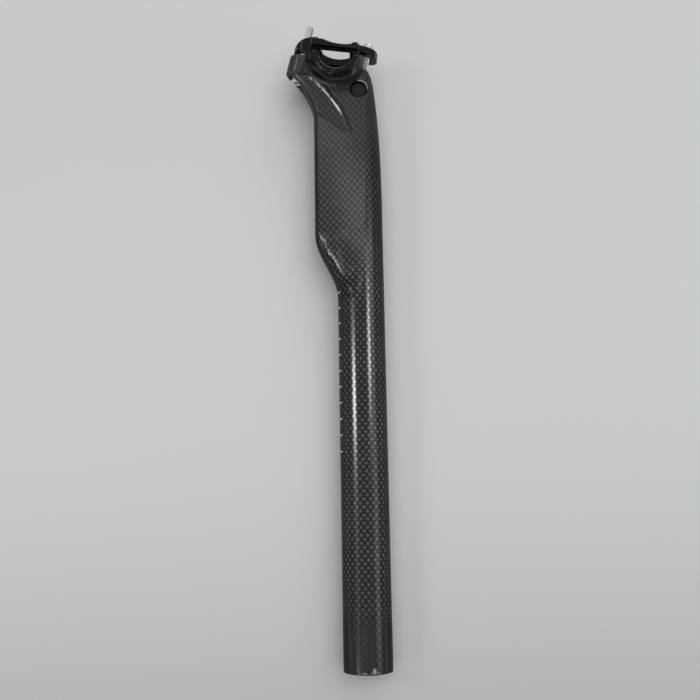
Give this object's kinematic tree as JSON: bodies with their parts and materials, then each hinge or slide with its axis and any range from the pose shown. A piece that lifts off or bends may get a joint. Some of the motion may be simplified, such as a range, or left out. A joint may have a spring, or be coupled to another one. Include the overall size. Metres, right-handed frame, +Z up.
{
  "type": "bicycle seatpost",
  "caption": "Carbon bicycle seatpost: round lower tube, deep aero upper section and a rocking saddle rail clamp tilted by a front and a rear bolt.",
  "frame": {"origin": "centre of the tube's lower end", "axes": "+Y along the tube towards the saddle clamp, +X to the front of the bicycle, +Z up as the post lies on its left side"},
  "size_m": [0.0618, 0.4148, 0.0492],
  "materials": {
    "carbon": "woven carbon fibre under clear gloss lacquer",
    "clamp": "gloss black anodised",
    "bolt": "bright",
    "nut": "satin black anodised",
    "washer": "satin"
  },
  "bodies": {
    "post": {"post_body": "carbon"},
    "clamp": {"lower_cradle": "clamp", "upper_clamp": "clamp"},
    "rear_bolt_set": {"rear_bolt": "bolt", "rear_washer": "washer"},
    "front_bolt_set": {"front_bolt": "bolt", "front_washer": "washer"},
    "rear_nut": {"rear_barrel_nut": "nut"},
    "front_nut": {"front_barrel_nut": "nut"}
  },
  "joints": [
    {"name": "clamp_tilt", "type": "hinge", "parent": "post", "child": "clamp", "pos_m": [-0.0133, 0.384, 0], "axis": [0, 0, 1], "range_deg": [-5, 5]},
    {"name": "rear_bolt_swing", "type": "hinge", "parent": "post", "child": "rear_bolt_set", "pos_m": [-0.03895, 0.37799, 0], "axis": [0, 0, 1], "range_deg": [-2.6, 2.6]},
    {"name": "rear_nut_turn", "type": "hinge", "parent": "clamp", "child": "rear_nut", "pos_m": [-0.03407, 0.39914, 0], "axis": [0, 0, 1], "range_deg": [-2.9, 2.9]},
    {"name": "front_bolt_swing", "type": "hinge", "parent": "clamp", "child": "front_bolt_set", "pos_m": [0.00743, 0.396, 0], "axis": [0, 0, 1], "range_deg": [-2.9, 2.9]},
    {"name": "front_nut_turn", "type": "hinge", "parent": "post", "child": "front_nut", "pos_m": [0.0009, 0.3633, 0], "axis": [0, 0, 1], "range_deg": [-2.6, 2.6]}
  ],
  "couplings": [
    {"joint": "rear_bolt_swing", "follows": "clamp_tilt", "ratio": 0.46407},
    {"joint": "rear_nut_turn", "follows": "clamp_tilt", "ratio": -0.53593},
    {"joint": "front_bolt_swing", "follows": "clamp_tilt", "ratio": -0.52541},
    {"joint": "front_nut_turn", "follows": "clamp_tilt", "ratio": 0.47459}
  ]
}
